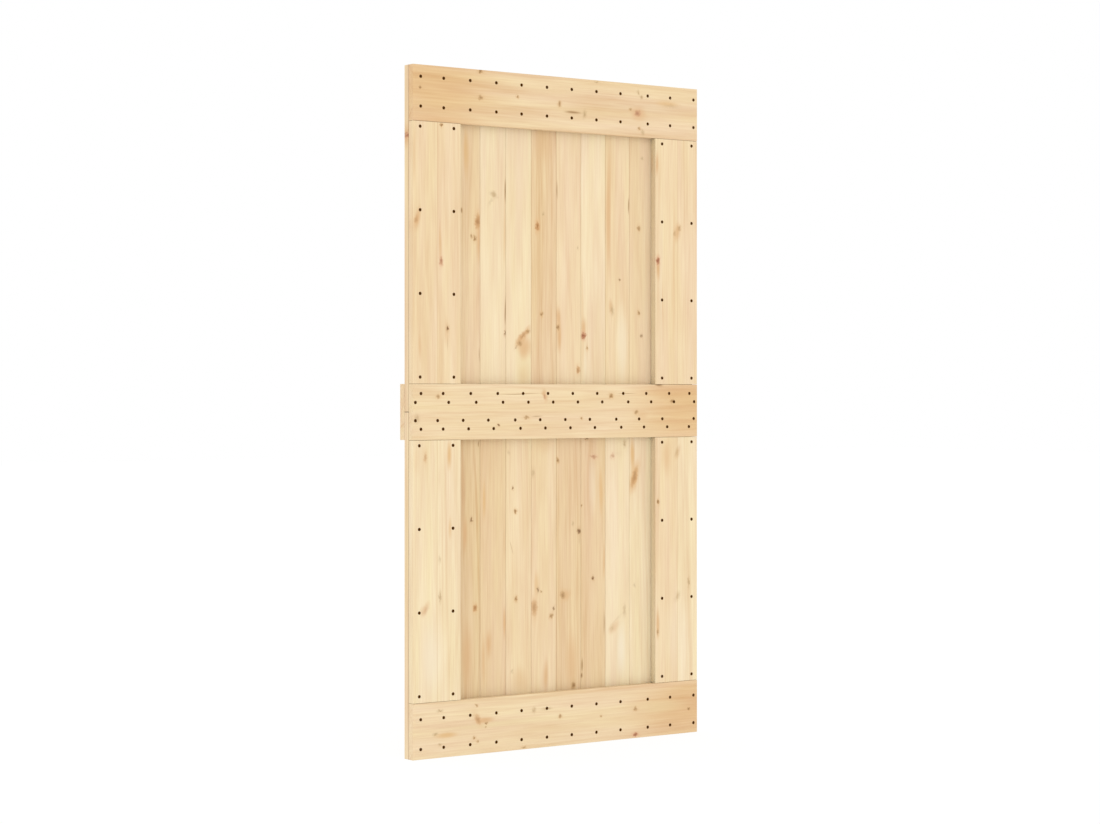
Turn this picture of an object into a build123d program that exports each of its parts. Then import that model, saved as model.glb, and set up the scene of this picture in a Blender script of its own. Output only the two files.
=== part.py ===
"""Leaf of a sliding door in pine.

Upright tongue-and-groove planks stand in two lengths that butt at half height. A planted front
frame of three rails and four stiles holds them together, with one more rail across the back, behind
the middle rail, where the two lengths meet.

Frame: X runs along the width, Y from the front to the back, Z up. The origin is the middle of
the top edge, on the plane where the front frame meets the planks.
"""

import os

from build123d import *

# The leaf, in millimetres
DOOR_WIDTH = 1100.0
DOOR_HEIGHT = 2100.0

# Planks: a full plank covers this width from joint to joint, and the two outer ones are ripped to fit
PLANK_THICKNESS = 24.0
PLANK_COVER = 96.5
EDGE_PLANK_LEAST = 30.0
PLANK_BUTT_GAP = 2.0

# The joint between two planks
TONGUE_LENGTH = 9.0
TONGUE_THICKNESS = 8.0
TONGUE_LEAD = 0.8
TONGUE_PLAY = 0.15
TONGUE_END_ROOM = 1.0
SHOULDER_GAP = 0.4
JOINT_CHAMFER = 1.2

# Front frame: the rails run the full width, and the stiles stand between them
FRAME_THICKNESS = 24.0
TOP_RAIL_HEIGHT = 170.0
MIDDLE_RAIL_HEIGHT = 170.0
BOTTOM_RAIL_HEIGHT = 170.0
STILE_WIDTH = 173.0
STILE_END_GAP = 0.8

# Back rail, behind the middle rail
BACK_RAIL_THICKNESS = 24.0
BACK_RAIL_HEIGHT = 170.0

# Rounding of a planed board's long edges
ARRIS_RADIUS = 1.5

# Places worked out from the sizes above
HALF_WIDTH = DOOR_WIDTH / 2
BOTTOM = -DOOR_HEIGHT
MIDDLE = BOTTOM / 2
FULL_PLANKS_PER_SIDE = int((HALF_WIDTH - EDGE_PLANK_LEAST) // PLANK_COVER)
PLANKS_PER_COURSE = 2 * FULL_PLANKS_PER_SIDE + 2
JOINT_XS = [
    (i - FULL_PLANKS_PER_SIDE) * PLANK_COVER for i in range(2 * FULL_PLANKS_PER_SIDE + 1)
]
GROOVE_DEPTH = TONGUE_LENGTH - SHOULDER_GAP + TONGUE_END_ROOM
GROOVE_WIDTH = TONGUE_THICKNESS + 2 * TONGUE_PLAY
MIDDLE_RAIL_TOP = MIDDLE + MIDDLE_RAIL_HEIGHT / 2
MIDDLE_RAIL_BOTTOM = MIDDLE - MIDDLE_RAIL_HEIGHT / 2


def make_plank(left, right, bottom_z, top_z, grooved, tongued):
    """One upright plank between two joint lines, with its groove on the left and its tongue on the right.

    A ripped edge has neither, reaches its line without a gap, and is rounded instead of chamfered.
    """
    face_left = left + SHOULDER_GAP / 2 if grooved else left
    face_right = right - SHOULDER_GAP / 2 if tongued else right
    core = PLANK_THICKNESS / 2
    with BuildPart() as plank:
        with BuildSketch(Plane.XY.offset(bottom_z)) as section:
            with Locations(((face_left + face_right) / 2, core)):
                Rectangle(face_right - face_left, PLANK_THICKNESS)
            corners = section.vertices().group_by(Axis.X)
            for edge_corners, jointed in ((corners[0], grooved), (corners[-1], tongued)):
                if jointed:
                    chamfer(edge_corners, JOINT_CHAMFER)
                else:
                    fillet(edge_corners, ARRIS_RADIUS)
            if grooved:
                with Locations((face_left, core)):
                    Rectangle(GROOVE_DEPTH, GROOVE_WIDTH, align=(Align.MIN, Align.CENTER), mode=Mode.SUBTRACT)
            if tongued:
                with Locations((face_right, core)):
                    Rectangle(TONGUE_LENGTH, TONGUE_THICKNESS, align=(Align.MIN, Align.CENTER))
                chamfer(section.vertices().group_by(Axis.X)[-1], TONGUE_LEAD)
        extrude(amount=top_z - bottom_z)
    return plank.part


def make_board(middle, size, front_y, thickness, grain):
    """One planed board that lies flat in the plane of the leaf, with its four long edges rounded.

    middle and size are (x, z) pairs, and grain is the axis that the long edges run along.
    """
    with BuildPart() as board:
        with BuildSketch(Plane.XZ.offset(-front_y)):
            with Locations(middle):
                Rectangle(*size)
        extrude(amount=-thickness)
        fillet(board.edges().filter_by(grain), ARRIS_RADIUS)
    return board.part


def make_planks():
    """Both courses of planks, each from left to right, by name."""
    lines = [-HALF_WIDTH, *JOINT_XS, HALF_WIDTH]
    courses = {
        "upper": (MIDDLE + PLANK_BUTT_GAP / 2, 0),
        "lower": (BOTTOM, MIDDLE - PLANK_BUTT_GAP / 2),
    }
    return {
        f"{course}_plank_{i + 1:02d}": make_plank(
            lines[i], lines[i + 1], bottom_z, top_z, grooved=i > 0, tongued=i < PLANKS_PER_COURSE - 1
        )
        for course, (bottom_z, top_z) in courses.items()
        for i in range(PLANKS_PER_COURSE)
    }


def make_rails():
    """The three front rails and the back rail, by name. All run the full width."""
    front = {
        "top_rail": (-TOP_RAIL_HEIGHT / 2, TOP_RAIL_HEIGHT),
        "middle_rail": (MIDDLE, MIDDLE_RAIL_HEIGHT),
        "bottom_rail": (BOTTOM + BOTTOM_RAIL_HEIGHT / 2, BOTTOM_RAIL_HEIGHT),
    }
    rails = {
        name: make_board((0, middle_z), (DOOR_WIDTH, height), -FRAME_THICKNESS, FRAME_THICKNESS, Axis.X)
        for name, (middle_z, height) in front.items()
    }
    rails["back_rail"] = make_board(
        (0, MIDDLE), (DOOR_WIDTH, BACK_RAIL_HEIGHT), PLANK_THICKNESS, BACK_RAIL_THICKNESS, Axis.X
    )
    return rails


def make_stiles():
    """The four stiles, by name: two between the top and middle rails, two below."""
    side_x = HALF_WIDTH - STILE_WIDTH / 2
    bays = {
        "upper": (MIDDLE_RAIL_TOP, -TOP_RAIL_HEIGHT),
        "lower": (BOTTOM + BOTTOM_RAIL_HEIGHT, MIDDLE_RAIL_BOTTOM),
    }
    stiles = {}
    for bay, (bottom_z, top_z) in bays.items():
        size = (STILE_WIDTH, top_z - bottom_z - 2 * STILE_END_GAP)
        for side, middle_x in (("left", -side_x), ("right", side_x)):
            middle = (middle_x, (bottom_z + top_z) / 2)
            stiles[f"{bay}_{side}_stile"] = make_board(
                middle, size, -FRAME_THICKNESS, FRAME_THICKNESS, Axis.Z
            )
    return stiles


os.makedirs("parts", exist_ok=True)
for name, part in {**make_planks(), **make_rails(), **make_stiles()}.items():
    part.label = name
    export_step(part, f"parts/{name}.step")
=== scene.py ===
"""Looks of the sliding door leaf: bare pine boards with knots, nailed front frame, floor, light, camera.

Blender units are metres. Sizes below are in millimetres, and places on the leaf, called x and z there, are
measured from its lower left corner as seen from the front.
"""

import math
from typing import NamedTuple

import bpy
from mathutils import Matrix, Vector


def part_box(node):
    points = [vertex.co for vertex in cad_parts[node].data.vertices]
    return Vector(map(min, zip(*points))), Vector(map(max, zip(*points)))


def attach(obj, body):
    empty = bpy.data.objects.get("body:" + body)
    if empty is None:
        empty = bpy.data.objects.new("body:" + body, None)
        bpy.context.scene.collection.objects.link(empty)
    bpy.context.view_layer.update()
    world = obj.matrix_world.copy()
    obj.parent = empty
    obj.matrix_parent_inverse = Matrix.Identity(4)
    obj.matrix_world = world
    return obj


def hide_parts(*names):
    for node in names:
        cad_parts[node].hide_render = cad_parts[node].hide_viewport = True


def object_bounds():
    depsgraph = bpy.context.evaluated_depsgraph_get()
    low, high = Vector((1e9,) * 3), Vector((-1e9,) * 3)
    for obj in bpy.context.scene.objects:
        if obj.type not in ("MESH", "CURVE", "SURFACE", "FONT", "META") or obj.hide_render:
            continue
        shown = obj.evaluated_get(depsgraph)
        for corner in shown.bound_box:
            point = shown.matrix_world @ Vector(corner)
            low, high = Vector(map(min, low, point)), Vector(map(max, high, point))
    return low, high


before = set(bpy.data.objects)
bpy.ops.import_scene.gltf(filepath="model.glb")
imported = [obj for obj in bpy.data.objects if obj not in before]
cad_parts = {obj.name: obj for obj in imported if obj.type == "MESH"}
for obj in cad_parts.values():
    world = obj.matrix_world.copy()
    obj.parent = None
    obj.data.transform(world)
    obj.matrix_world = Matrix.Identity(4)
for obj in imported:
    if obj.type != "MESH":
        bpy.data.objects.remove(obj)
cad_low, cad_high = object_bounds()

MM = 0.001

# Shaping: how straight a face or edge has to lie, and up to which angle a rim is shaded as one curve
STRAIGHT = 0.99
SMOOTH_UP_TO = 40

# Front frame: planed boards with rounded long edges, and ends that a saw left crisp
ARRIS_RADIUS = 1.5
ARRIS_SEGMENTS = 4
END_EASING = 0.4

# Nails: a dark head that was driven just below the face
NAIL_HEAD_DIAMETER = 10.0
NAIL_HEAD_THICKNESS = 1.4
NAIL_SUNK = 0.35
NAIL_EDGE = 0.35
NAIL_EDGE_SEGMENTS = 2
NAIL_RIM = 1.1
NAIL_DISH = 0.2
NAIL_SIDES = 16
NAIL_DENT = 2
NAIL_DENT_DEPTH = 0.2
NAIL_DENT_STRENGTH = 0.3
LACQUER_DARK = "#3E2203"
LACQUER_BROWN = "#5A3408"
LACQUER_SMOOTH = 0.75
LACQUER_ROUGH = 0.9
NAIL_HOLE_MOUTH = 11.0
NAIL_HOLE_FLOOR = 10.2
NAIL_HOLE_DEPTH = 2.0
NAIL_HOLE_SIDES = 16

# Nail places in the rails: one or two heads in every plank behind them
RAIL_NAIL_XS = (28, 111, 208, 305, 400, 497, 593, 690, 786, 896, 988, 1085)
TOP_RAIL_NAIL_ROWS = (2064, 1974)
BOTTOM_RAIL_NAIL_ROWS = (121, 31)
MIDDLE_UPPER_XS = (29, 109, 210, 310, 406, 501, 597, 693, 797, 890, 984, 1068)
MIDDLE_LOWER_XS = (29, 109, 202, 295, 396, 491, 588, 684, 789, 881, 976, 1066)
MIDDLE_UPPER_ROWS = (1106, 1079)
MIDDLE_LOWER_ROWS = (998, 1024)
MIDDLE_PAIR_STEP = 20

# Nail places in the stiles: two columns of four heads, given from the stile's own edges
STILE_NAIL_ROWS = 4
STILE_NAIL_FROM_TOP = 16
STILE_NAIL_FROM_BOTTOM = 20
STILE_NAIL_COLUMNS = {
    "upper_left_stile": (26, 148),
    "lower_left_stile": (23, 145),
    "upper_right_stile": (28, 150),
    "lower_right_stile": (28, 150),
}

# Photograph's viewpoint
CAMERA_PLACE = (-4.616, -6.395, -0.990)
CAMERA_TURN = 35.69
CAMERA_LENS = 81.98
CAMERA_SENSOR = 36
CAMERA_SHIFT_X = -0.00047
CAMERA_SHIFT_Y = -0.0180

# Light: a white room all round, and one broad lamp in front, above and to the left
ROOM_STRENGTH = 0.95
KEY_PLACE = (-2.5, -9.0, 3.5)
KEY_SIZE = 5
KEY_POWER = 60
FLOOR_SIZE = 60
FLOOR_GLOW = 0.88
FLOOR_GLOW_STRENGTH = 1.025
FLOOR_COLOUR = "#FAFAFA"

# Growth rings of the pine: lines of dark latewood in pale earlywood, which wander, taper and fade
WANDER_REACH = 42
RING_DETAIL = 4
RING_ROUGHNESS = 0.6
RING_STARTS = 0.42
RING_FULL = 0.68
EARLYWOOD = -0.4
FADED = 0.3

# Figure of the pine: how strongly its parts show, and what the dark ones take of red, green and blue
RING_DEPTH = 0.17
CLOUD_DEPTH = 0.09
GRAIN_DEPTH = 0.10
FIBRE_DEPTH = 0.06
LATEWOOD_TAKES = (-0.4, -0.75, -1.0)
YELLOW_TINGE = "#FFFFF3"
ROSE_TINGE = "#FFFCFA"

# Soft noise runs mostly between these values, round this middle
SOFT_LOW = 0.3
SOFT_HIGH = 0.7
SOFT_MIDDLE = (0.5, 0.5, 0.5)

# Glue line between the two strips of a stile
GLUE_LINE = "#D2A873"
GLUE_LINE_WIDTH = 1.6
GLUE_LINE_CORE = 0.4
GLUE_LINE_DEPTH = 0.35

# Inner edges of the stiles, which face the panel: painted shade, a little greyer than the planed faces
REVEAL_SHADE_TINT = "#F3FAFF"
REVEAL_SHADE_FROM = 1.0
REVEAL_SHADE_FULL = 0.3

# Painted shade in the joint between the two layers of boards
JOINT_SHADE = "#8A6238"
JOINT_SHADE_WIDTH = 2.4
JOINT_SHADE_DEPTH = 0.6

# Sheen and relief of planed pine: dark wood is denser, and so a little smoother
PALE_WOOD = -0.3
DARK_WOOD = 0.5
PALE_ROUGHNESS = 0.68
DARK_ROUGHNESS = 0.52
PLANED_RELIEF = 0.1
PLANED_STRENGTH = 0.25

# Ring lines bend aside round a knot
BEND_SIZE = 1.5
BEND_ROOM = 8
BEND_ALONG = 2.5
BEND_PUSH = 0.42

# A mark goes right through its board, as if it were this many metres deep
RIGHT_THROUGH = 1000

# Each board and each glued strip is cut from another place in the wood
YEARS_APART = 50
BOARDS_APART = 3000
STRIPS_APART = 1400
STRIP_SHIFT = 57


def linear(colour):
    """Linear colour of an sRGB hex value."""
    channels = [int(colour[i:i + 2], 16) / 255 for i in (1, 3, 5)]
    return (*(c / 12.92 if c <= 0.04045 else ((c + 0.055) / 1.055) ** 2.4 for c in channels), 1)


def put(tree, kind, inputs=None, **settings):
    """Adds a node with its settings. An input gets a value, or a link if it is an output."""
    node = tree.nodes.new("ShaderNode" + kind)
    for name, value in settings.items():
        setattr(node, name, value)
    for name, value in (inputs or {}).items():
        if isinstance(value, bpy.types.NodeSocket):
            tree.links.new(value, node.inputs[name])
        else:
            node.inputs[name].default_value = value
    return node.outputs


def leaf_point(x, z, y=0.0):
    """Point in metres of a place on the leaf in millimetres, at depth y."""
    return Vector((cad_low.x + x * MM, y * MM, cad_low.z + z * MM))


class Pattern(NamedTuple):
    """A soft pattern in the wood: its size across and along the grain, and how many finer ones it has."""

    across: float
    along: float
    detail: int


class Edge(NamedTuple):
    """How a mark's edge runs: its waves' size across and along the grain, and how far they reach."""

    wave_across: float
    wave_along: float
    reach_across: float
    reach_along: float


class Layer(NamedTuple):
    """One soft oval of a mark: its colour, strength and size against the mark's, and where it is full."""

    colour: str
    strength: float
    across: float
    along: float
    full: float


class Mark(NamedTuple):
    """A knot, stain or streak: middle and size on the leaf, how far its top leans right, and depth."""

    kind: str
    x: float
    z: float
    wide: float
    tall: float
    lean: float = 0
    depth: float = 1


class Board(NamedTuple):
    """How one board was cut: its tone, the tree's heart from its middle, ring width and contrast.

    A glued board has two strips, which meet at glued_at from its middle. The second has its own tone.
    """

    tone: str
    heart: tuple
    ring: float
    figure: float
    marks: tuple = ()
    taper: float = 0.012
    glued_at: float = None
    strip_tone: str = None


# Soft patterns of the pine. Real fibres are finer, and are drawn as coarse as they need to show
FIGURE = {
    "wander": Pattern(110, 620, 2),
    "cloud": Pattern(48, 340, 2),
    "tinge": Pattern(42, 460, 2),
    "fade": Pattern(26, 300, 2),
    "grain": Pattern(6, 170, 3),
    "fibre": Pattern(1.6, 90, 2),
}

# Marks in the pine: soft ovals of colour, from the widest to the core
KINDS = {
    "knot": (
        Layer("#E0B986", 0.60, 2.2, 2.9, 0.1),
        Layer("#BE9564", 0.85, 1.35, 1.35, 0.4),
        Layer("#8C6638", 0.60, 0.75, 0.75, 0.1),
    ),
    "orange": (
        Layer("#E4B986", 0.70, 2.1, 2.8, 0.1),
        Layer("#C8945E", 0.85, 1.35, 1.35, 0.4),
        Layer("#986632", 0.60, 0.75, 0.75, 0.1),
    ),
    "red": (
        Layer("#E2B08A", 0.75, 2.0, 2.6, 0.1),
        Layer("#BA7E58", 0.90, 1.3, 1.3, 0.45),
        Layer("#8A5036", 0.65, 0.7, 0.7, 0.1),
    ),
    "black": (
        Layer("#D3AC7E", 0.55, 2.3, 3.0, 0.1),
        Layer("#986F42", 0.80, 1.35, 1.35, 0.45),
        Layer("#563620", 0.60, 0.8, 0.8, 0.2),
    ),
    "stain": (
        Layer("#CDAE80", 0.62, 1.7, 1.8, 0.1),
        Layer("#AA8A60", 0.34, 1.0, 1.0, 0.1),
    ),
    "blush": (Layer("#E0B685", 0.80, 1.2, 1.2, 0.1),),
    "flush": (Layer("#E0B685", 0.80, 1.2, 1.2, 0.1),),
    "honey": (Layer("#E4BC86", 0.80, 1.2, 1.2, 0.1),),
    "yellow": (Layer("#EFDCA8", 0.80, 1.2, 1.2, 0.1),),
    "pale": (Layer("#F6E6C8", 0.75, 1.2, 1.2, 0.1),),
    "streak": (
        Layer("#CBA678", 0.75, 1.7, 1.1, 0.1),
        Layer("#A37C52", 0.60, 0.9, 0.9, 0.1),
    ),
}
KNOT_KINDS = ("knot", "orange", "red", "black")
LONG_KINDS = ("blush", "flush", "honey", "yellow", "pale", "streak")
FLUSH_KINDS = ("flush",)

# Boards along the joint between the two layers that show it at the leaf's edges, with painted shade along it
FRAME_BOARDS = (
    "top_rail", "middle_rail", "bottom_rail",
    "upper_left_stile", "upper_right_stile", "lower_left_stile", "lower_right_stile",
)
EDGE_PLANKS = ("upper_plank_01", "upper_plank_12", "lower_plank_01", "lower_plank_12")

# Edges of the marks: knots and stains are ragged all round, patches run along the grain
EDGE_DETAIL = 2
EDGES = {
    "round": Edge(9, 9, 14, 14),
    "long": Edge(30, 240, 18, 40),
}

# Tones of dry planed pine, from the palest boards to the brownest
CREAM = "#F2DCB9"
STRAW = "#EFD5B0"
WHEAT = "#ECD0AB"
BISCUIT = "#E8CAA3"
TAN = "#E5C79D"

# The boards, with the knots, stains, streaks and patches of each; two patches on the lower panel are painted
# shade
BOARDS = {
    "upper_plank_01": Board(WHEAT, (30, 70), 15, 0.8, (
        Mark("blush", 4, 1890, 30, 90, 0, 1.2),
        Mark("red", 2, 1888, 10, 16, 0, 0.8),
        Mark("knot", 30, 1650, 14, 20),
    )),
    "upper_plank_02": Board(STRAW, (-50, 90), 14, 0.8, (Mark("orange", 120, 1500, 16, 22),)),
    "upper_plank_03": Board(WHEAT, (60, 80), 16, 0.9, (
        Mark("honey", 208, 1850, 30, 190, 0, 1.2),
        Mark("blush", 256, 1575, 18, 150, 0, 1.1),
        Mark("orange", 252, 1636, 20, 46, 0, 0.8),
        Mark("knot", 228, 1590, 8, 12, 0, 0.7),
        Mark("knot", 241, 1583, 11, 17, 0, 1.0),
        Mark("streak", 193, 1666, 8, 24, 0, 1.3),
        Mark("streak", 256, 1228, 5, 70, 0, 0.6),
    )),
    "upper_plank_04": Board(CREAM, (-20, 120), 18, 0.7, (
        Mark("stain", 311, 1721, 30, 16, 25, 0.9),
        Mark("stain", 300, 1700, 12, 34, 25, 0.3),
        Mark("streak", 354, 1730, 6, 100, 0, 1.4),
        Mark("blush", 350, 1600, 14, 220, 0, 0.6),
        Mark("streak", 354, 1362, 7, 120, 0, 1.4),
        Mark("black", 355, 1295, 9, 14, 0, 1.0),
    )),
    "upper_plank_05": Board(CREAM, (15, 140), 20, 0.7, (
        Mark("yellow", 425, 1190, 70, 160, 0, 0.7),
        Mark("honey", 424, 1165, 56, 100, 0, 0.45),
        Mark("honey", 429, 1252, 70, 84, 0, 0.7),
        Mark("blush", 424, 1254, 64, 78, 0, 0.9),
        Mark("blush", 420, 1280, 28, 100, 42, 0.9),
        Mark("knot", 441, 1300, 15, 13, 0, 1.0),
        Mark("orange", 421, 1287, 15, 42, 45, 0.6),
        Mark("knot", 409, 1262, 20, 17, 20, 0.7),
        Mark("black", 396, 1250, 6, 14, 35, 0.3),
    )),
    "upper_plank_06": Board(BISCUIT, (-70, 60), 13, 1.0, (
        Mark("blush", 506, 1890, 90, 150, 0, 0.5),
        Mark("orange", 478, 1629, 16, 30, 0, 1.1),
        Mark("stain", 499, 1669, 9, 13, 0, 0.8),
        Mark("knot", 492, 1355, 10, 12, 0, 1.3),
    )),
    "upper_plank_07": Board(STRAW, (-10, 110), 17, 0.8, (
        Mark("streak", 555, 1745, 7, 80, 0, 0.55),
        Mark("blush", 557, 1345, 18, 76, 0, 1.1),
        Mark("blush", 560, 1284, 24, 116, 0, 1.25),
        Mark("knot", 557, 1314, 12, 17, 0, 1.0),
        Mark("orange", 635, 1180, 15, 22, 0, 0.75),
        Mark("stain", 634, 1568, 8, 13, 0, 0.7),
    )),
    "upper_plank_08": Board(CREAM, (25, 130), 18, 0.7, (
        Mark("blush", 652, 1330, 14, 420, 0, 0.5),
        Mark("blush", 657, 1318, 28, 80, 0, 1.1),
        Mark("pale", 664, 1200, 16, 110, 0, 0.6),
        Mark("red", 656, 1289, 19, 20, 0, 1.05),
        Mark("knot", 671, 1252, 7, 13, 0, 0.8),
    )),
    "upper_plank_09": Board(STRAW, (35, 80), 16, 0.8, (
        Mark("blush", 757, 1690, 28, 560, 0, 1.1),
        Mark("pale", 808, 1262, 60, 290, 0, 0.75),
        Mark("blush", 764, 1385, 22, 60, 0, 0.8),
        Mark("stain", 770, 1372, 15, 30, -8, 0.8),
        Mark("black", 800, 1469, 6, 9, -15, 0.8),
        Mark("streak", 835, 1706, 7, 70, 0, 1.0),
    )),
    "upper_plank_10": Board(WHEAT, (0, 90), 16, 0.8, (
        Mark("knot", 878, 1638, 13, 16, 0, 0.75),
        Mark("knot", 879, 1365, 12, 14, 0, 0.9),
        Mark("black", 889, 1292, 7, 12, 0, 0.55),
        Mark("stain", 892, 1864, 16, 10, 40, 0.7),
    )),
    "upper_plank_11": Board(STRAW, (40, 90), 16, 0.8, (Mark("orange", 990, 1420, 14, 22),)),
    "upper_plank_12": Board(WHEAT, (-30, 80), 15, 0.8, (Mark("knot", 1070, 1250, 12, 16),)),
    "lower_plank_01": Board(STRAW, (-20, 80), 15, 0.8, (Mark("orange", 36, 420, 14, 20),)),
    "lower_plank_02": Board(WHEAT, (30, 70), 16, 0.8, (Mark("knot", 110, 640, 12, 18),)),
    "lower_plank_03": Board(TAN, (-60, 60), 13, 1.0, (
        Mark("blush", 206, 680, 26, 120, 0, 1.3),
        Mark("black", 227, 718, 9, 14, 0, 1.0),
        Mark("orange", 242, 446, 16, 20, 0, 0.9),
        Mark("blush", 212, 300, 50, 240, 0, 0.9),
        Mark("streak", 252, 955, 4, 26, 0, 1.1),
    )),
    "lower_plank_04": Board(BISCUIT, (50, 80), 15, 0.9, (
        Mark("honey", 276, 776, 16, 150, 0, 1.3),
        Mark("blush", 273, 280, 16, 190, 0, 0.8),
        Mark("blush", 291, 325, 24, 100, 0, 1.2),
        Mark("blush", 352, 394, 15, 110, 0, 1.2),
    )),
    "lower_plank_05": Board(STRAW, (-12, 70), 16, 0.9, (
        # Painted shade along the foot of the panel, above the bottom rail
        Mark("blush", 408, 205, 80, 110, 0, 0.6),
        Mark("stain", 367, 924, 16, 8, 60, 0.4),
        Mark("black", 383, 812, 6, 8, 0, 1.1),
        Mark("knot", 394, 740, 13, 12, 0, 1.1),
        Mark("streak", 378, 632, 4, 60, -18, 0.4),
        Mark("knot", 395, 467, 13, 14, 0, 1.15),
        Mark("stain", 380, 241, 11, 13, 0, 0.5),
    )),
    "lower_plank_06": Board(STRAW, (20, 110), 17, 0.8, (
        # Painted shade under the middle rail, at the top of the panel
        Mark("blush", 505, 948, 80, 80, 0, 0.45),
        Mark("stain", 460, 857, 14, 32, 0, 0.7),
        Mark("honey", 474, 510, 24, 90, 0, 0.8),
        Mark("black", 479, 491, 8, 18, 0, 0.6),
        Mark("knot", 492, 484, 6, 7, 0, 0.6),
        Mark("orange", 465, 436, 24, 52, 0, 0.6),
        Mark("knot", 530, 407, 14, 16, 35, 0.8),
        Mark("black", 541, 430, 8, 14, 0, 0.7),
        Mark("blush", 508, 215, 28, 140, 0, 1.1),
    )),
    "lower_plank_07": Board(BISCUIT, (-80, 60), 13, 1.0, (
        Mark("blush", 610, 250, 60, 220, 0, 0.85),
        Mark("knot", 555, 896, 10, 14, 0, 1.25),
        Mark("black", 639, 669, 14, 18, 0, 0.95),
        Mark("streak", 640, 640, 4, 40, 0, 0.35),
        Mark("stain", 615, 694, 9, 15, 0, 0.6),
        Mark("blush", 588, 474, 48, 44, 0, 0.9),
        Mark("knot", 575, 470, 21, 23, 0, 0.8),
        Mark("knot", 617, 182, 17, 24, 0, 1.0),
    )),
    "lower_plank_08": Board(BISCUIT, (40, 80), 14, 0.9, (
        Mark("pale", 690, 820, 34, 220, 0, 0.5),
        Mark("black", 668, 962, 14, 7, 0, 0.9),
        Mark("red", 696, 905, 28, 12, 10, 0.45),
        Mark("honey", 725, 796, 18, 180, 0, 1.1),
        Mark("knot", 649, 750, 6, 8, 0, 0.8),
        Mark("black", 694, 518, 10, 11, 0, 1.1),
        Mark("blush", 737, 570, 14, 130, 0, 0.8),
        Mark("streak", 651, 246, 7, 64, 0, 1.2),
        Mark("streak", 649, 211, 8, 26, 0, 1.4),
        Mark("streak", 739, 370, 8, 110, 0, 0.6),
    )),
    "lower_plank_09": Board(CREAM, (10, 150), 20, 0.7, (
        Mark("pale", 806, 290, 50, 230, 0, 1.2),
        Mark("stain", 795, 914, 46, 24, 0, 0.1),
        Mark("red", 772, 906, 17, 17, 0, 0.35),
        Mark("stain", 821, 945, 14, 24, 0, 0.9),
        Mark("blush", 776, 362, 30, 64, 42, 0.6),
        Mark("stain", 770, 354, 20, 22, 0, 0.4),
        Mark("stain", 790, 384, 9, 50, 50, 0.2),
        Mark("stain", 820, 411, 14, 42, 0, 0.55),
    )),
    "lower_plank_10": Board(CREAM, (-20, 110), 17, 0.8, (
        Mark("honey", 850, 905, 26, 140, 0, 1.3),
        Mark("honey", 858, 834, 44, 110, 15, 1.2),
        Mark("orange", 860, 837, 20, 64, 18, 0.75),
        Mark("knot", 862, 847, 8, 22, 25, 0.5),
        Mark("stain", 860, 488, 10, 15, 0, 0.5),
    )),
    "lower_plank_11": Board(STRAW, (20, 90), 17, 0.8, (Mark("orange", 985, 560, 14, 20),)),
    "lower_plank_12": Board(WHEAT, (-40, 80), 15, 0.8, (Mark("knot", 1068, 380, 12, 16),)),
    "top_rail": Board(WHEAT, (20, 90), 16, 0.9, (
        Mark("flush", 70, 2040, 600, 320, 0, 1.0),
        Mark("flush", 100, 1938, 400, 36, 0, 0.6),
        Mark("pale", 890, 2024, 420, 44, 0, 0.25),
        Mark("knot", 246, 2095, 17, 11, 0, 1.2),
        Mark("knot", 26, 2031, 10, 11, 0, 1.1),
        Mark("knot", 246, 2015, 16, 14, 0, 0.75),
        Mark("knot", 384, 2027, 7, 9, 0, 1.0),
        Mark("knot", 545, 2016, 11, 18, 0, 0.85),
        Mark("streak", 596, 1989, 90, 11, 0, 1.3),
        Mark("stain", 643, 1989, 15, 25, 0, 1.2),
        Mark("stain", 689, 2095, 16, 8, 0, 0.9),
        Mark("stain", 858, 2071, 9, 17, -20, 1.0),
        Mark("stain", 870, 2058, 11, 13, 0, 1.2),
        Mark("blush", 862, 2006, 74, 52, 0, 0.9),
        Mark("knot", 826, 2016, 10, 12, 0, 0.65),
        Mark("red", 854, 2005, 26, 20, -25, 0.55),
        Mark("knot", 860, 1957, 11, 10, 0, 0.8),
        Mark("stain", 875, 1945, 13, 23, -20, 0.7),
        Mark("honey", 975, 2042, 110, 24, 0, 0.9),
        Mark("stain", 990, 2037, 70, 14, 0, 0.4),
    )),
    "middle_rail": Board(STRAW, (-30, 80), 16, 0.9, (
        Mark("flush", 1070, 1050, 580, 340, 0, 1.0),
        Mark("flush", 1000, 1112, 400, 50, 0, 0.5),
        Mark("blush", 1010, 1016, 280, 16, 0, 0.9),
        Mark("blush", 866, 1036, 64, 36, 0, 0.6),
        Mark("knot", 91, 1097, 15, 15, 0, 0.7),
        Mark("blush", 486, 1100, 24, 50, -15, 1.1),
        Mark("red", 488, 1096, 8, 18, -10, 0.35),
        Mark("knot", 418, 1031, 20, 12, 0, 0.7),
        Mark("streak", 452, 1034, 60, 4, 0, 0.7),
        Mark("black", 312, 1008, 8, 7, 0, 1.1),
        Mark("stain", 14, 1030, 18, 30, 0, 0.7),
        Mark("streak", 380, 1105, 240, 4, 0, 0.9),
        Mark("knot", 748, 1099, 13, 15, 0, 1.05),
        Mark("streak", 815, 1106, 110, 3, 0, 0.8),
        Mark("knot", 849, 1046, 15, 15, 0, 0.75),
        Mark("knot", 630, 1029, 8, 10, 0, 0.9),
        Mark("knot", 996, 1081, 15, 13, 0, 1.0),
        Mark("streak", 947, 1133, 40, 15, 0, 1.6),
    )),
    "bottom_rail": Board(STRAW, (40, 90), 16, 0.9, (
        Mark("flush", 1060, 80, 580, 320, 0, 1.0),
        Mark("yellow", 330, 88, 560, 26, 0, 0.5),
        Mark("yellow", 950, 95, 240, 50, 0, 0.5),
        Mark("blush", 800, 164, 640, 14, 0, 0.7),
        Mark("knot", 231, 150, 9, 9, 0, 0.75),
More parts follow.
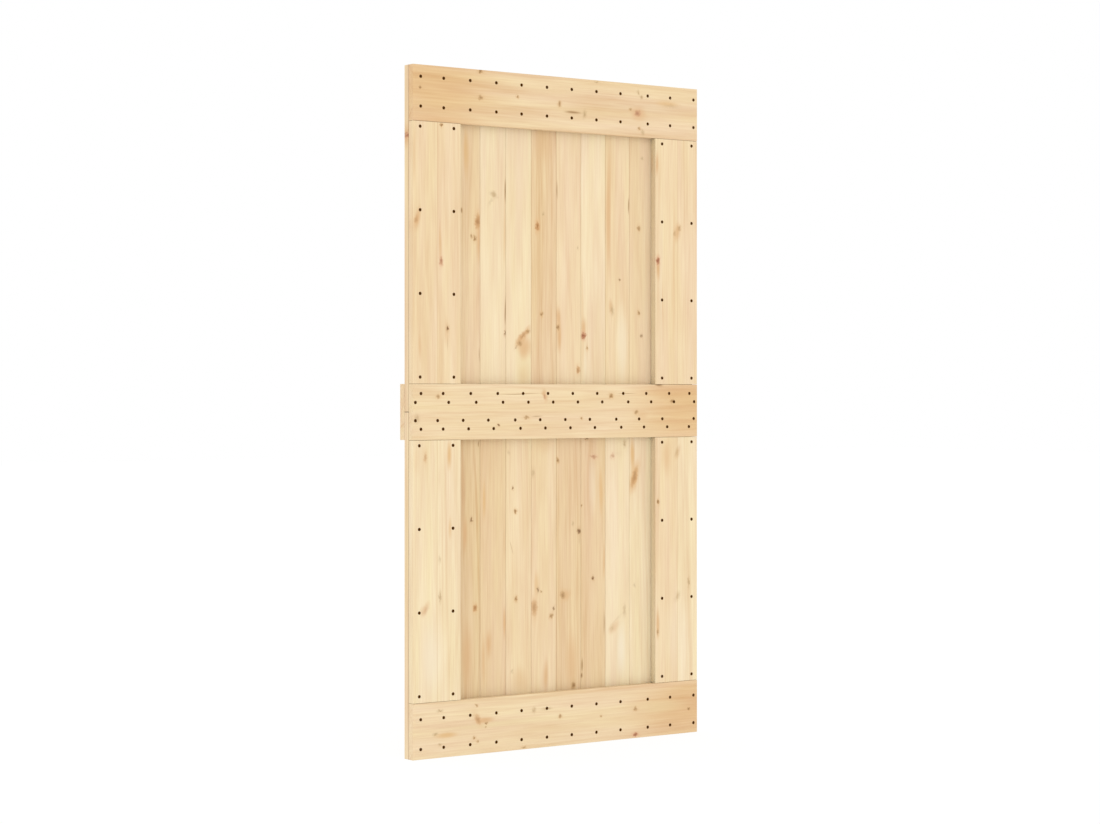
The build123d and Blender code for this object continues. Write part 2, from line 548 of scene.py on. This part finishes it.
        Mark("blush", 256, 104, 84, 24, 0, 1.2),
        Mark("orange", 236, 106, 38, 18, 60, 0.5),
        Mark("knot", 267, 92, 9, 8, 0, 0.85),
        Mark("knot", 265, 81, 6, 6, 0, 0.8),
        Mark("stain", 448, 119, 15, 19, 0, 0.8),
        Mark("stain", 498, 120, 36, 9, 0, 0.9),
        Mark("knot", 548, 92, 11, 14, 0, 0.75),
        Mark("stain", 97, 142, 20, 10, 0, 1.0),
        Mark("stain", 81, 73, 20, 10, 0, 1.0),
        Mark("honey", 125, 67, 90, 20, 0, 1.2),
        Mark("knot", 223, 51, 9, 9, 0, 0.95),
        Mark("knot", 236, 40, 8, 8, 0, 1.0),
        Mark("stain", 97, 39, 11, 9, 0, 1.2),
        Mark("knot", 408, 6, 16, 7, 0, 0.6),
        Mark("knot", 708, 81, 7, 9, 0, 0.8),
        Mark("knot", 846, 93, 14, 13, 0, 0.7),
        Mark("red", 846, 11, 20, 13, 0, 1.0),
        Mark("knot", 1066, 77, 10, 9, 0, 1.3),
    )),
    "upper_left_stile": Board(STRAW, (-30, 90), 16, 0.8, (
        Mark("blush", 6, 1830, 18, 240, 0, 0.6),
        Mark("blush", 15, 1634, 26, 90, 15, 1.1),
        Mark("orange", 12, 1632, 12, 26, 20, 0.4),
        Mark("blush", 98, 1566, 13, 150, 0, 0.9),
        Mark("red", 101, 1509, 13, 27, 0, 0.7),
        Mark("knot", 103, 1922, 9, 10, 0, 1.1),
        Mark("blush", 122, 1298, 24, 100, 0, 0.6),
        Mark("black", 125, 1304, 9, 13, 0, 1.1),
        Mark("streak", 124, 1262, 5, 70, 0, 0.3),
        Mark("blush", 26, 1250, 20, 100, 0, 0.7),
    ), glued_at=1, strip_tone=STRAW),
    "upper_right_stile": Board(STRAW, (30, 110), 17, 0.8, (
        Mark("pale", 952, 1500, 18, 760, 0, 0.35),
        Mark("blush", 1004, 1500, 16, 800, 0, 0.5),
        Mark("blush", 957, 1390, 7, 220, 0, 0.7),
        Mark("blush", 1018, 1628, 34, 70, 0, 1.0),
        Mark("knot", 1006, 1626, 10, 15, 0, 0.35),
        Mark("knot", 1026, 1643, 16, 18, 30, 0.5),
        Mark("blush", 939, 1514, 22, 90, 0, 1.3),
        Mark("red", 938, 1534, 15, 22, 0, 1.0),
        Mark("blush", 931, 1852, 14, 90, 0, 1.1),
    ), glued_at=5, strip_tone=STRAW),
    "lower_left_stile": Board(CREAM, (-20, 120), 18, 0.8, (
        Mark("honey", 12, 905, 30, 120, 0, 0.3),
        Mark("pale", 66, 300, 90, 280, 0, 0.9),
        Mark("blush", 42, 452, 30, 62, 35, 0.7),
        Mark("red", 45, 450, 16, 30, 35, 0.15),
        Mark("stain", 97, 488, 10, 36, 0, 0.9),
        Mark("orange", 44, 913, 14, 30, 0, 0.45),
        Mark("honey", 132, 925, 26, 100, 0, 1.2),
        Mark("honey", 134, 702, 18, 80, 0, 0.8),
        Mark("stain", 96, 602, 10, 26, 0, 0.5),
    ), glued_at=1, strip_tone=CREAM),
    "lower_right_stile": Board(STRAW, (25, 130), 18, 0.8, (
        Mark("pale", 1015, 320, 120, 300, 0, 0.35),
        Mark("blush", 975, 900, 46, 150, 0, 0.8),
        Mark("stain", 1017, 447, 18, 30, 25, 0.7),
        Mark("stain", 1065, 491, 9, 32, 0, 1.0),
        Mark("blush", 936, 366, 14, 120, 0, 1.1),
        Mark("knot", 936, 336, 9, 20, 0, 0.6),
        Mark("knot", 938, 757, 7, 15, 0, 1.1),
        Mark("blush", 1020, 916, 20, 60, 15, 0.6),
        Mark("stain", 1016, 915, 14, 34, 15, 0.6),
    ), glued_at=5, strip_tone=CREAM),
    "back_rail": Board(WHEAT, (-25, 85), 16, 0.9, (
        Mark("orange", 320, 1075, 18, 14),
        Mark("knot", 690, 1020, 10, 9),
        Mark("stain", 905, 1090, 16, 12),
    )),
}


def paint_mark(tree, colour, place, mark, level, tone):
    """Paints one mark over a colour, oval by oval. Knots are drawn out along the grain of their board.

    A flush only tints the board's tone, so that the figure shows through it.
    """
    middle = leaf_point(mark.x, mark.z)
    for layer in KINDS[mark.kind]:
        grow_x, grow_z = (layer.along, layer.across) if level else (layer.across, layer.along)
        spot = put(tree, "Mapping", {
            "Vector": place,
            "Location": middle,
            "Rotation": (0, math.radians(mark.lean), 0),
            "Scale": (mark.wide / 2 * grow_x * MM, RIGHT_THROUGH, mark.tall / 2 * grow_z * MM),
        }, vector_type="TEXTURE")[0]
        reach = put(tree, "VectorMath", {0: spot}, operation="LENGTH")["Value"]
        cover = put(tree, "MapRange", {
            "Value": reach, "From Min": 1, "From Max": layer.full, "To Min": 0,
            "To Max": min(1, layer.strength * mark.depth),
        }, interpolation_type="SMOOTHSTEP")[0]
        paint, blend = linear(layer.colour), "MIX"
        if mark.kind in FLUSH_KINDS:
            paint, blend = [new / old for new, old in zip(paint, linear(tone))], "MULTIPLY"
        colour = put(tree, "Mix", {0: cover, 6: colour, 7: paint}, data_type="RGBA", blend_type=blend)[2]
    return colour


def bend_round_knot(tree, across, place, mark, level):
    """Pushes the ring lines aside at a knot, so that they flow round it."""
    wide = mark.wide * BEND_SIZE + BEND_ROOM
    tall = mark.tall * BEND_SIZE + BEND_ROOM
    stretch_x, stretch_z = (BEND_ALONG, 1) if level else (1, BEND_ALONG)
    spot = put(tree, "Mapping", {
        "Vector": place,
        "Location": leaf_point(mark.x, mark.z),
        "Scale": (wide / 2 * stretch_x * MM, RIGHT_THROUGH, tall / 2 * stretch_z * MM),
    }, vector_type="TEXTURE")[0]
    reach = put(tree, "VectorMath", {0: spot}, operation="LENGTH")["Value"]
    side = put(tree, "SeparateXYZ", {0: spot})["Z" if level else "X"]
    push = (tall if level else -wide) * BEND_PUSH
    near = put(tree, "MapRange", {
        "Value": reach, "From Min": 1, "From Max": 0, "To Min": 0, "To Max": push,
    }, interpolation_type="SMOOTHSTEP")[0]
    return put(tree, "Math", {0: side, 1: near, 2: across}, operation="MULTIPLY_ADD")[0]


def planed_pine(name, board):
    """Planed, untreated pine: matt pale yellow wood with soft darker latewood lines, orange tints and knots.

    The figure is solid: rings run round the tree's heart, so faces, edges and ends of a board agree.
    """
    material = bpy.data.materials.new("planed_pine_" + name)
    material.use_nodes = True
    tree = material.node_tree
    tree.nodes.clear()
    level = name.endswith("_rail")
    low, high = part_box(name)
    place = put(tree, "TexCoord")["Object"]

    # The board's own millimetres: x across it, y through it and z along its grain
    own = put(tree, "Mapping", {
        "Vector": place,
        "Location": (low + high) / 2,
        "Rotation": (0, math.radians(90 if level else 0), 0),
        "Scale": (MM, MM, MM),
    }, vector_type="TEXTURE")[0]
    own_axes = put(tree, "SeparateXYZ", {0: own})
    across = own_axes["X"]
    number = list(BOARDS).index(name)
    drawn = put(tree, "VectorMath", {0: own, 1: (0, 0, number * BOARDS_APART)}, operation="ADD")[0]
    if board.glued_at is not None:
        strip = put(tree, "Math", {0: across, 1: board.glued_at}, operation="GREATER_THAN")[0]
        apart = put(tree, "Math", {0: strip, 1: STRIPS_APART}, operation="MULTIPLY")[0]
        shift = put(tree, "CombineXYZ", {"Z": apart})[0]
        drawn = put(tree, "VectorMath", {0: drawn, 1: shift}, operation="ADD")[0]
        across = put(tree, "Math", {0: strip, 1: STRIP_SHIFT, 2: across}, operation="MULTIPLY_ADD")[0]

    soft = {}
    for figure, pattern in FIGURE.items():
        size = (1 / pattern.across, 1 / pattern.across, 1 / pattern.along)
        scaled = put(tree, "VectorMath", {0: drawn, 1: size}, operation="MULTIPLY")[0]
        soft[figure] = put(tree, "TexNoise", {"Vector": scaled, "Scale": 1, "Detail": pattern.detail})["Fac"]

    uneven = {}
    for run, edge in EDGES.items():
        size = (1 / edge.wave_across, 1 / edge.wave_across, 1 / edge.wave_along)
        scaled = put(tree, "VectorMath", {0: drawn, 1: size}, operation="MULTIPLY")[0]
        noise = put(tree, "TexNoise", {"Vector": scaled, "Scale": 1, "Detail": EDGE_DETAIL})["Color"]
        shift = put(tree, "VectorMath", {0: noise, 1: SOFT_MIDDLE}, operation="SUBTRACT")[0]
        reach_x, reach_z = edge.reach_across * MM, edge.reach_along * MM
        reach = (reach_z, 0, reach_x) if level else (reach_x, 0, reach_z)
        uneven[run] = put(tree, "VectorMath", {0: shift, 1: reach, 2: place}, operation="MULTIPLY_ADD")[0]

    # Growth rings round the heart, wide and narrow by turns, which lean as the tree tapers
    for mark in board.marks:
        if mark.kind in KNOT_KINDS:
            across = bend_round_knot(tree, across, place, mark, level)
    across = put(tree, "Math", {0: soft["wander"], 1: WANDER_REACH, 2: across}, operation="MULTIPLY_ADD")[0]
    heart_x, heart_y = board.heart
    from_heart = put(tree, "CombineXYZ", {
        "X": put(tree, "Math", {0: across, 1: heart_x}, operation="SUBTRACT")[0],
        "Y": put(tree, "Math", {0: own_axes["Y"], 1: heart_y}, operation="SUBTRACT")[0],
    })[0]
    radius = put(tree, "VectorMath", {0: from_heart}, operation="LENGTH")["Value"]
    age = put(tree, "Math", {0: own_axes["Z"], 1: board.taper, 2: radius}, operation="MULTIPLY_ADD")[0]
    years = put(tree, "Math", {
        0: age, 1: 1 / board.ring, 2: number * YEARS_APART,
    }, operation="MULTIPLY_ADD")[0]
    growth = put(tree, "TexNoise", {
        "W": years, "Scale": 1, "Detail": RING_DETAIL, "Roughness": RING_ROUGHNESS,
    }, noise_dimensions="1D")["Fac"]
    late = put(tree, "MapRange", {
        "Value": growth, "From Min": RING_STARTS, "From Max": RING_FULL,
        "To Min": EARLYWOOD, "To Max": 1,
    }, interpolation_type="SMOOTHSTEP")[0]
    faded = put(tree, "MapRange", {
        "Value": soft["fade"], "From Min": SOFT_LOW, "From Max": SOFT_HIGH, "To Min": FADED, "To Max": 1,
    })[0]
    lines = put(tree, "Math", {0: late, 1: faded}, operation="MULTIPLY")[0]
    darker = put(tree, "Math", {0: lines, 1: RING_DEPTH * board.figure}, operation="MULTIPLY")[0]
    for figure, depth in (("cloud", CLOUD_DEPTH), ("grain", GRAIN_DEPTH), ("fibre", FIBRE_DEPTH)):
        depth *= board.figure
        spread = put(tree, "MapRange", {
            "Value": soft[figure], "From Min": SOFT_LOW, "From Max": SOFT_HIGH,
            "To Min": -depth, "To Max": depth,
        })[0]
        darker = put(tree, "Math", {0: darker, 1: spread}, operation="ADD")[0]
    left = put(tree, "VectorMath", {0: darker, 1: LATEWOOD_TAKES, 2: (1, 1, 1)}, operation="MULTIPLY_ADD")[0]
    hue = put(tree, "MapRange", {"Value": soft["tinge"], "From Min": SOFT_LOW, "From Max": SOFT_HIGH})[0]
    tinge = put(tree, "Mix", {0: hue, 6: linear(YELLOW_TINGE), 7: linear(ROSE_TINGE)}, data_type="RGBA")[2]
    wood = put(tree, "VectorMath", {0: left, 1: tinge}, operation="MULTIPLY")[0]
    if board.glued_at is None:
        colour = put(tree, "VectorMath", {0: wood, 1: linear(board.tone)[:3]}, operation="MULTIPLY")[0]
    else:
        tone = put(tree, "Mix", {
            0: strip, 6: linear(board.tone), 7: linear(board.strip_tone),
        }, data_type="RGBA")[2]
        colour = put(tree, "VectorMath", {0: wood, 1: tone}, operation="MULTIPLY")[0]

    for mark in board.marks:
        run = "long" if mark.kind in LONG_KINDS else "round"
        colour = paint_mark(tree, colour, uneven[run], mark, level, board.tone)
    # Painted shade on the inner edge of a stile, where it faces the panel
    if name.endswith("_stile"):
        half = (high.x - low.x) / 2 / MM
        to_opening = 1 if name.endswith("_left_stile") else -1
        inwards = put(tree, "Math", {0: own_axes["X"], 1: to_opening}, operation="MULTIPLY")[0]
        reveal_shade = put(tree, "MapRange", {
            "Value": inwards, "From Min": half - REVEAL_SHADE_FROM, "From Max": half - REVEAL_SHADE_FULL,
        })[0]
        colour = put(tree, "Mix", {
            0: reveal_shade, 6: colour, 7: linear(REVEAL_SHADE_TINT),
        }, data_type="RGBA", blend_type="MULTIPLY")[2]
    # Painted shade: darker wood within a few millimetres of the joint between the two layers
    if name in FRAME_BOARDS or name in EDGE_PLANKS:
        joint_y = high.y if name in FRAME_BOARDS else low.y
        deep = put(tree, "SeparateXYZ", {0: place})["Y"]
        off_joint = put(tree, "Math", {0: deep, 1: joint_y}, operation="SUBTRACT")[0]
        away = put(tree, "Math", {0: off_joint}, operation="ABSOLUTE")[0]
        painted_joint_shade = put(tree, "MapRange", {
            "Value": away, "From Min": JOINT_SHADE_WIDTH * MM, "From Max": 0,
            "To Min": 0, "To Max": JOINT_SHADE_DEPTH,
        })[0]
        colour = put(tree, "Mix", {0: painted_joint_shade, 6: colour, 7: linear(JOINT_SHADE)}, data_type="RGBA")[2]
    if board.glued_at is not None:
        off_line = put(tree, "Math", {0: own_axes["X"], 1: board.glued_at}, operation="SUBTRACT")[0]
        away = put(tree, "Math", {0: off_line}, operation="ABSOLUTE")[0]
        on_line = put(tree, "MapRange", {
            "Value": away, "From Min": GLUE_LINE_WIDTH, "From Max": GLUE_LINE_CORE,
            "To Min": 0, "To Max": GLUE_LINE_DEPTH,
        })[0]
        colour = put(tree, "Mix", {0: on_line, 6: colour, 7: linear(GLUE_LINE)}, data_type="RGBA")[2]

    roughness = put(tree, "MapRange", {
        "Value": darker, "From Min": PALE_WOOD, "From Max": DARK_WOOD,
        "To Min": PALE_ROUGHNESS, "To Max": DARK_ROUGHNESS,
    })[0]
    relief = put(tree, "Math", {0: late, 1: soft["fibre"]}, operation="ADD")[0]
    bump = put(tree, "Bump", {
        "Height": relief, "Strength": PLANED_STRENGTH, "Distance": PLANED_RELIEF * MM,
    })[0]
    shader = put(tree, "BsdfPrincipled", {
        "Base Color": colour, "Roughness": roughness, "Normal": bump,
        "IOR": 1.5, "Specular IOR Level": 0.35,
    })[0]
    put(tree, "OutputMaterial", {"Surface": shader})
    return material


def lacquered_steel():
    """Nail steel under a matt brown lacquer: almost black, with a dull sheen that the hammer left uneven."""
    material = bpy.data.materials.new("brown_lacquered_nail_steel")
    material.use_nodes = True
    tree = material.node_tree
    tree.nodes.clear()
    place = put(tree, "TexCoord")["Object"]
    dents = put(tree, "TexNoise", {"Vector": place, "Scale": 1 / (NAIL_DENT * MM), "Detail": 2})["Fac"]
    colour = put(tree, "Mix", {
        0: dents, 6: linear(LACQUER_DARK), 7: linear(LACQUER_BROWN),
    }, data_type="RGBA")[2]
    roughness = put(tree, "MapRange", {"Value": dents, "To Min": LACQUER_SMOOTH, "To Max": LACQUER_ROUGH})[0]
    bump = put(tree, "Bump", {
        "Height": dents, "Strength": NAIL_DENT_STRENGTH, "Distance": NAIL_DENT_DEPTH * MM,
    })[0]
    shader = put(tree, "BsdfPrincipled", {
        "Base Color": colour, "Roughness": roughness, "Normal": bump,
        "IOR": 1.5, "Specular IOR Level": 0.05,
    })[0]
    put(tree, "OutputMaterial", {"Surface": shader})
    return material


def start_piece(name):
    """Names the primitive that was just added and moves its place and size into its mesh."""
    piece = bpy.context.object
    piece.name = name
    bpy.ops.object.transform_apply(location=True, rotation=True, scale=True)
    return piece


def select_edges(piece, wanted):
    """Leaves a piece in edit mode with only those edges selected for whose two ends wanted says yes."""
    bpy.ops.object.mode_set(mode="EDIT")
    bpy.ops.mesh.select_mode(type="EDGE")
    bpy.ops.mesh.select_all(action="DESELECT")
    bpy.ops.object.mode_set(mode="OBJECT")
    points = piece.data.vertices
    for edge in piece.data.edges:
        edge.select = wanted(*(points[i].co for i in edge.vertices))
    bpy.ops.object.mode_set(mode="EDIT")


def select_front_face(piece):
    """Leaves a piece in edit mode with only the flat face selected that looks straight to the front."""
    bpy.ops.object.mode_set(mode="EDIT")
    bpy.ops.mesh.select_mode(type="FACE")
    bpy.ops.mesh.select_all(action="DESELECT")
    bpy.ops.object.mode_set(mode="OBJECT")
    for face in piece.data.polygons:
        face.select = face.normal.y < -STRAIGHT
    bpy.ops.object.mode_set(mode="EDIT")


def repeat_at(places):
    """In edit mode, with the first copy selected at the first place: repeats it at all the others."""
    for here, there in zip(places, places[1:]):
        bpy.ops.mesh.duplicate()
        bpy.ops.transform.translate(value=there - here)


def make_nail_holes(places):
    """Countersunk holes for a board's nails, as one tool to cut them with."""
    bpy.ops.object.select_all(action="DESELECT")
    bpy.ops.mesh.primitive_cone_add(
        vertices=NAIL_HOLE_SIDES,
        radius1=NAIL_HOLE_MOUTH / 2 * MM,
        radius2=NAIL_HOLE_FLOOR / 2 * MM,
        depth=2 * NAIL_HOLE_DEPTH * MM,
        location=places[0],
        rotation=(math.radians(-90), 0, 0),
    )
    holes = start_piece("nail_holes")
    bpy.ops.object.mode_set(mode="EDIT")
    bpy.ops.mesh.select_all(action="SELECT")
    repeat_at(places)
    bpy.ops.object.mode_set(mode="OBJECT")
    return holes


def make_nails(name, places):
    """The nail heads of one board: discs with a bevelled rim and a slightly dished top."""
    bpy.ops.object.select_all(action="DESELECT")
    first = places[0] + Vector((0, (NAIL_SUNK + NAIL_HEAD_THICKNESS / 2) * MM, 0))
    bpy.ops.mesh.primitive_cylinder_add(
        vertices=NAIL_SIDES,
        radius=NAIL_HEAD_DIAMETER / 2 * MM,
        depth=NAIL_HEAD_THICKNESS * MM,
        location=first,
        rotation=(math.radians(90), 0, 0),
    )
    nails = start_piece(name)
    select_front_face(nails)
    bpy.ops.mesh.bevel(offset=NAIL_EDGE * MM, segments=NAIL_EDGE_SEGMENTS, affect="EDGES")
    bpy.ops.object.mode_set(mode="OBJECT")
    select_front_face(nails)
    bpy.ops.mesh.inset(thickness=NAIL_RIM * MM)
    bpy.ops.transform.translate(value=(0, NAIL_DISH * MM, 0))
    bpy.ops.mesh.select_all(action="SELECT")
    repeat_at(places)
    bpy.ops.object.mode_set(mode="OBJECT")
    bpy.ops.object.shade_smooth_by_angle(angle=math.radians(SMOOTH_UP_TO))
    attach(nails, "root")
    return nails


def make_frame_board(node, places):
    """One board of the front frame, with rounded long edges, eased ends and a hole for each nail."""
    low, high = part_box(node)
    grain = 0 if node.endswith("_rail") else 2
    bpy.ops.object.select_all(action="DESELECT")
    bpy.ops.mesh.primitive_cube_add(size=1, location=(low + high) / 2, scale=high - low)
    board = start_piece(node + "_board")
    select_edges(board, lambda a, b: abs(a[grain] - b[grain]) > STRAIGHT * (high - low)[grain])
    bpy.ops.mesh.bevel(offset=ARRIS_RADIUS * MM, segments=ARRIS_SEGMENTS, affect="EDGES")
    bpy.ops.object.mode_set(mode="OBJECT")
    select_edges(board, lambda a, b: abs(a[grain] - b[grain]) < END_EASING * MM)
    bpy.ops.mesh.bevel(offset=END_EASING * MM, segments=1, affect="EDGES")
    bpy.ops.object.mode_set(mode="OBJECT")

    holes = make_nail_holes(places)
    bpy.ops.object.select_all(action="DESELECT")
    bpy.context.view_layer.objects.active = board
    board.select_set(True)
    cut = board.modifiers.new("nail holes", "BOOLEAN")
    cut.object = holes
    cut.solver = "EXACT"
    bpy.ops.object.modifier_apply(modifier=cut.name)
    bpy.data.objects.remove(holes)
    bpy.ops.object.shade_smooth_by_angle(angle=math.radians(SMOOTH_UP_TO))
    even = board.modifiers.new("even faces", "WEIGHTED_NORMAL")
    even.keep_sharp = True
    bpy.ops.object.modifier_apply(modifier=even.name)

    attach(board, "root")
    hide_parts(node)
    return board


def nail_places():
    """Where the nails of each frame board sit on its front face, by the board's name."""
    front = cad_low.y / MM
    upper, lower = MIDDLE_UPPER_XS, MIDDLE_LOWER_XS
    step = MIDDLE_PAIR_STEP
    spots = {
        "top_rail": [(x, z) for z in TOP_RAIL_NAIL_ROWS for x in RAIL_NAIL_XS],
        "bottom_rail": [(x, z) for z in BOTTOM_RAIL_NAIL_ROWS for x in RAIL_NAIL_XS],
        "middle_rail": [
            *((x, MIDDLE_UPPER_ROWS[0]) for x in upper),
            *((x, MIDDLE_UPPER_ROWS[1]) for x in (upper[0] - step, *(x + step for x in upper[1:]))),
            *((x, MIDDLE_LOWER_ROWS[0]) for x in lower),
            *((x, MIDDLE_LOWER_ROWS[1]) for x in (*(x - step for x in lower[:-1]), lower[-1] + step)),
        ],
    }
    for stile, columns in STILE_NAIL_COLUMNS.items():
        low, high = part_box(stile)
        left = (low.x - cad_low.x) / MM
        top = (high.z - cad_low.z) / MM - STILE_NAIL_FROM_TOP
        bottom = (low.z - cad_low.z) / MM + STILE_NAIL_FROM_BOTTOM
        gap = (top - bottom) / (STILE_NAIL_ROWS - 1)
        spots[stile] = [(left + x, bottom + i * gap) for x in columns for i in range(STILE_NAIL_ROWS)]
    return {node: [leaf_point(x, z, front) for x, z in pairs] for node, pairs in spots.items()}


def make_floor():
    """Pale studio floor. Seen directly it is white, and it keeps the leaf's soft shadow."""
    bpy.ops.object.select_all(action="DESELECT")
    bpy.ops.mesh.primitive_plane_add(size=FLOOR_SIZE, location=(0, 0, cad_low.z))
    floor = bpy.context.object
    floor.name = "studio_floor"
    material = bpy.data.materials.new("matt_white_floor_paint")
    material.use_nodes = True
    tree = material.node_tree
    tree.nodes.clear()
    paint = put(tree, "BsdfDiffuse", {"Color": linear(FLOOR_COLOUR)})[0]
    glow = put(tree, "Emission", {"Color": (1, 1, 1, 1), "Strength": FLOOR_GLOW_STRENGTH})[0]
    mixed = put(tree, "MixShader", {0: FLOOR_GLOW, 1: paint, 2: glow})[0]
    put(tree, "OutputMaterial", {"Surface": mixed})
    floor.data.materials.append(material)


def seen_directly(tree):
    """1 on rays that show a surface itself or its mirror image, and 0 on rays that only carry its light."""
    path = put(tree, "LightPath")
    mirrored = put(tree, "Math", {
        0: path["Is Glossy Ray"], 1: path["Is Transmission Ray"],
    }, operation="MAXIMUM")[0]
    return put(tree, "Math", {0: path["Is Camera Ray"], 1: mirrored}, operation="MAXIMUM")[0]


def make_light():
    """A white room, which is full white only where it is seen, and one broad soft lamp."""
    world = bpy.data.worlds.new("white_room")
    bpy.context.scene.world = world
    world.use_nodes = True
    tree = world.node_tree
    tree.nodes.clear()
    strength = put(tree, "MapRange", {"Value": seen_directly(tree), "To Min": ROOM_STRENGTH, "To Max": 1})[0]
    room = put(tree, "Background", {"Color": (1, 1, 1, 1), "Strength": strength})[0]
    put(tree, "OutputWorld", {"Surface": room})

    lamp = bpy.data.lights.new("broad_lamp", "AREA")
    lamp.size = KEY_SIZE
    lamp.energy = KEY_POWER
    key = bpy.data.objects.new("broad_lamp", lamp)
    key.location = KEY_PLACE
    middle = (cad_low + cad_high) / 2
    key.rotation_euler = (middle - Vector(KEY_PLACE)).to_track_quat("-Z", "Y").to_euler()
    bpy.context.scene.collection.objects.link(key)


def make_camera():
    """The photograph's viewpoint: level, from the left, with upright lines kept upright."""
    view = bpy.data.cameras.new("front_left_view")
    view.lens = CAMERA_LENS
    view.sensor_width = CAMERA_SENSOR
    view.shift_x = CAMERA_SHIFT_X
    view.shift_y = CAMERA_SHIFT_Y
    camera = bpy.data.objects.new("front_left_view", view)
    camera.location = CAMERA_PLACE
    camera.rotation_euler = (math.radians(90), 0, math.radians(-CAMERA_TURN))
    bpy.context.scene.collection.objects.link(camera)
    bpy.context.scene.camera = camera


steel = lacquered_steel()
for node, places in nail_places().items():
    board = make_frame_board(node, places)
    board.data.materials.clear()
    board.data.materials.append(planed_pine(node, BOARDS[node]))
    nails = make_nails(node + "_nails", places)
    nails.data.materials.append(steel)
for node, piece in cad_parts.items():
    if not piece.hide_render:
        piece.material_slots[0].material = planed_pine(node, BOARDS[node])

make_floor()
make_light()
make_camera()
bpy.context.scene.view_settings.view_transform = "Standard"
# Light bounces once, which leaves the soft shade in the corners between frame and planks
bpy.context.scene.cycles.diffuse_bounces = 1
